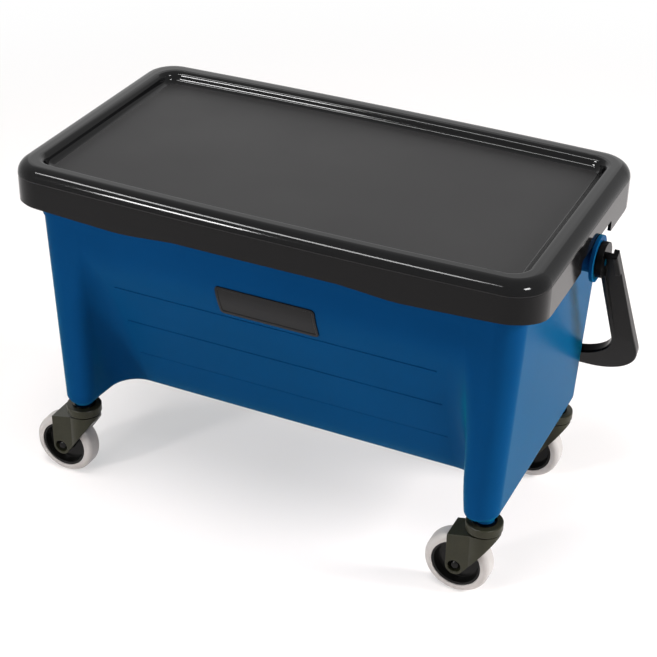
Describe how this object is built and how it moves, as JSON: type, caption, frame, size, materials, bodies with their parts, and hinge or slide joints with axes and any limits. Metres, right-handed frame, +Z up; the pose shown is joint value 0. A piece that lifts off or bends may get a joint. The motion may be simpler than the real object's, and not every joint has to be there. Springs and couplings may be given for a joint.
{
  "type": "floor finish bucket",
  "caption": "Long rectangular bucket on swivel casters with a sloped front panel between legs, a lift-off recessed lid and a full-length swing handle.",
  "frame": {"origin": "on the floor under the middle of the lid", "axes": "+X along the bucket to the picture's right, +Y to the back where the handle rests, +Z up"},
  "size_m": [0.7358, 0.379, 0.458],
  "materials": {
    "tub_blue": "glossy blue moulded plastic",
    "lid_black": "glossy black plastic with a satin panel",
    "handle_black": "glossy black plastic",
    "pin_blue": "glossy blue plastic",
    "socket_nylon": "black nylon",
    "stem_steel": "zinc-plated steel",
    "fork_charcoal": "charcoal plastic",
    "axle_black": "black coated steel",
    "hub_black": "black plastic",
    "tyre_grey": "light grey non-marking rubber"
  },
  "bodies": {
    "bucket": {"bucket_body": "tub_blue", "pivot_pin_l": "pin_blue", "pivot_pin_r": "pin_blue", "caster_fl_socket": "socket_nylon", "caster_fl_stem": "stem_steel", "caster_fl_washer": "stem_steel", "caster_fr_socket": "socket_nylon", "caster_fr_stem": "stem_steel", "caster_fr_washer": "stem_steel", "caster_bl_socket": "socket_nylon", "caster_bl_stem": "stem_steel", "caster_bl_washer": "stem_steel", "caster_br_socket": "socket_nylon", "caster_br_stem": "stem_steel", "caster_br_washer": "stem_steel"},
    "lid": {"lid": "lid_black"},
    "bail": {"bail_handle": "handle_black"},
    "caster_fl": {"caster_fl_fork": "fork_charcoal", "caster_fl_axle": "axle_black"},
    "wheel_fl": {"caster_fl_hub": "hub_black", "caster_fl_tyre": "tyre_grey"},
    "caster_fr": {"caster_fr_fork": "fork_charcoal", "caster_fr_axle": "axle_black"},
    "wheel_fr": {"caster_fr_hub": "hub_black", "caster_fr_tyre": "tyre_grey"},
    "caster_bl": {"caster_bl_fork": "fork_charcoal", "caster_bl_axle": "axle_black"},
    "wheel_bl": {"caster_bl_hub": "hub_black", "caster_bl_tyre": "tyre_grey"},
    "caster_br": {"caster_br_fork": "fork_charcoal", "caster_br_axle": "axle_black"},
    "wheel_br": {"caster_br_hub": "hub_black", "caster_br_tyre": "tyre_grey"}
  },
  "joints": [
    {"name": "lid_lift", "type": "slide", "parent": "bucket", "child": "lid", "axis": [0, 0, 1], "range_m": [0, 0.06]},
    {"name": "bail_swing", "type": "hinge", "parent": "bucket", "child": "bail", "pos_m": [0, 0.025, 0.396], "axis": [1, 0, 0], "range_deg": [0, 270]},
    {"name": "swivel_fl", "type": "hinge", "parent": "bucket", "child": "caster_fl", "pos_m": [-0.276, -0.133, 0.108], "axis": [0, 0, 1], "continuous": true},
    {"name": "roll_fl", "type": "hinge", "parent": "caster_fl", "child": "wheel_fl", "pos_m": [-0.304, -0.133, 0.0415], "axis": [0, 1, 0], "continuous": true},
    {"name": "swivel_fr", "type": "hinge", "parent": "bucket", "child": "caster_fr", "pos_m": [0.276, -0.133, 0.108], "axis": [0, 0, 1], "continuous": true},
    {"name": "roll_fr", "type": "hinge", "parent": "caster_fr", "child": "wheel_fr", "pos_m": [0.248, -0.133, 0.0415], "axis": [0, 1, 0], "continuous": true},
    {"name": "swivel_bl", "type": "hinge", "parent": "bucket", "child": "caster_bl", "pos_m": [-0.276, 0.127, 0.108], "axis": [0, 0, 1], "continuous": true},
    {"name": "roll_bl", "type": "hinge", "parent": "caster_bl", "child": "wheel_bl", "pos_m": [-0.304, 0.127, 0.0415], "axis": [0, 1, 0], "continuous": true},
    {"name": "swivel_br", "type": "hinge", "parent": "bucket", "child": "caster_br", "pos_m": [0.276, 0.127, 0.108], "axis": [0, 0, 1], "continuous": true},
    {"name": "roll_br", "type": "hinge", "parent": "caster_br", "child": "wheel_br", "pos_m": [0.248, 0.127, 0.0415], "axis": [0, 1, 0], "continuous": true}
  ]
}
